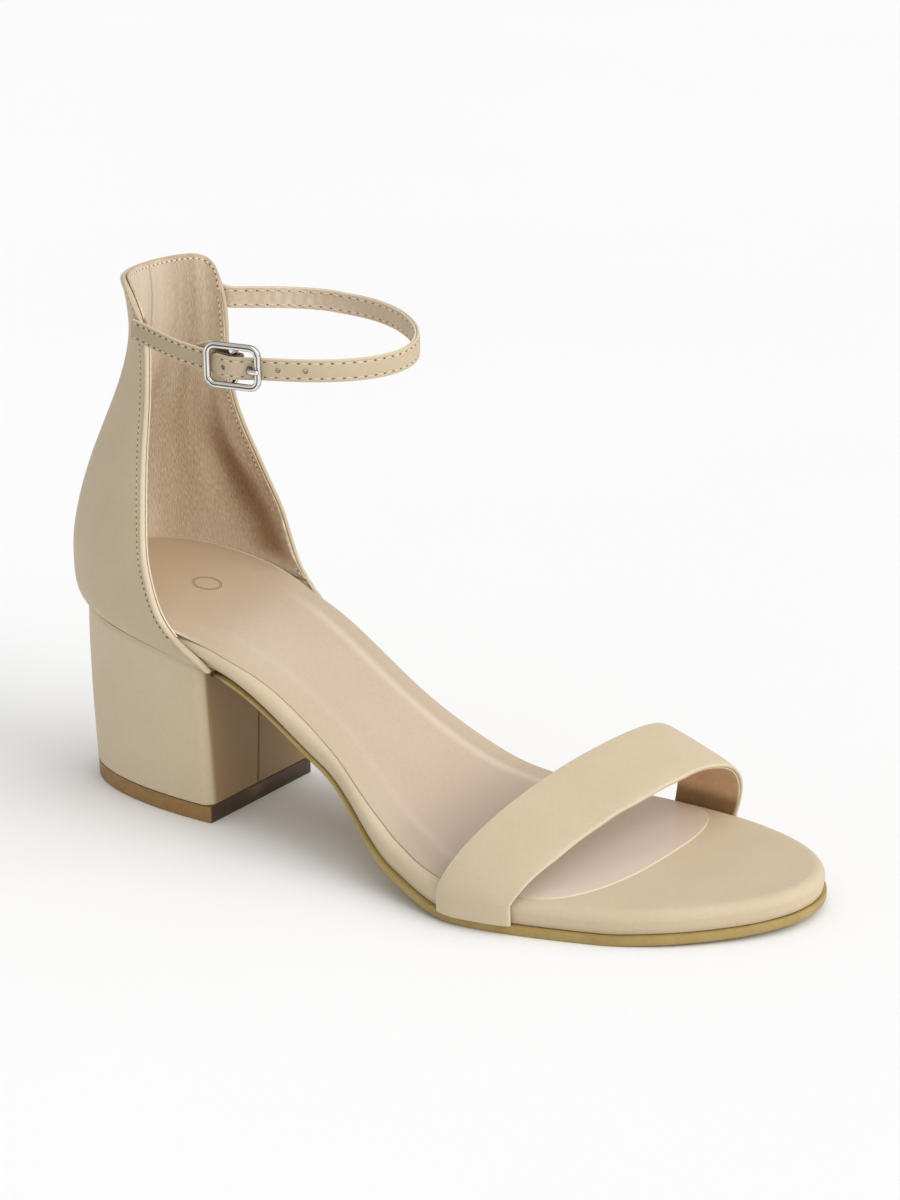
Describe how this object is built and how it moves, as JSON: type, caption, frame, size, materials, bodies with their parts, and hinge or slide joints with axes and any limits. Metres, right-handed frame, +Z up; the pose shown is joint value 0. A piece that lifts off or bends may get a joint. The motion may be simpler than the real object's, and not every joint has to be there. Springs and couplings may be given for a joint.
{
  "type": "block heel ankle strap sandal",
  "caption": "Women's right block-heel sandal with a closed heel counter, buckled ankle strap, single toe strap and covered footbed, standing empty.",
  "frame": {"origin": "middle of the shoe's box on the floor it stands on", "axes": "+X from heel to toe, +Y to the inner side of the foot, +Z up"},
  "size_m": [0.226, 0.0878, 0.1487],
  "materials": {
    "cover": "matt napped imitation leather",
    "sock_face": "smooth satin imitation leather",
    "sole_rubber": "matt moulded rubber",
    "lift_rubber": "matt moulded rubber",
    "nickel": "polished nickel plate"
  },
  "bodies": {
    "root": {"footbed": "cover", "sock": "sock_face", "outsole": "sole_rubber", "heel_block": "cover", "top_lift": "lift_rubber", "heel_counter": "cover", "toe_strap": "cover", "ankle_strap_long": "cover", "ankle_strap_short": "cover", "buckle_frame": "nickel", "buckle_prong": "nickel"}
  },
  "joints": []
}
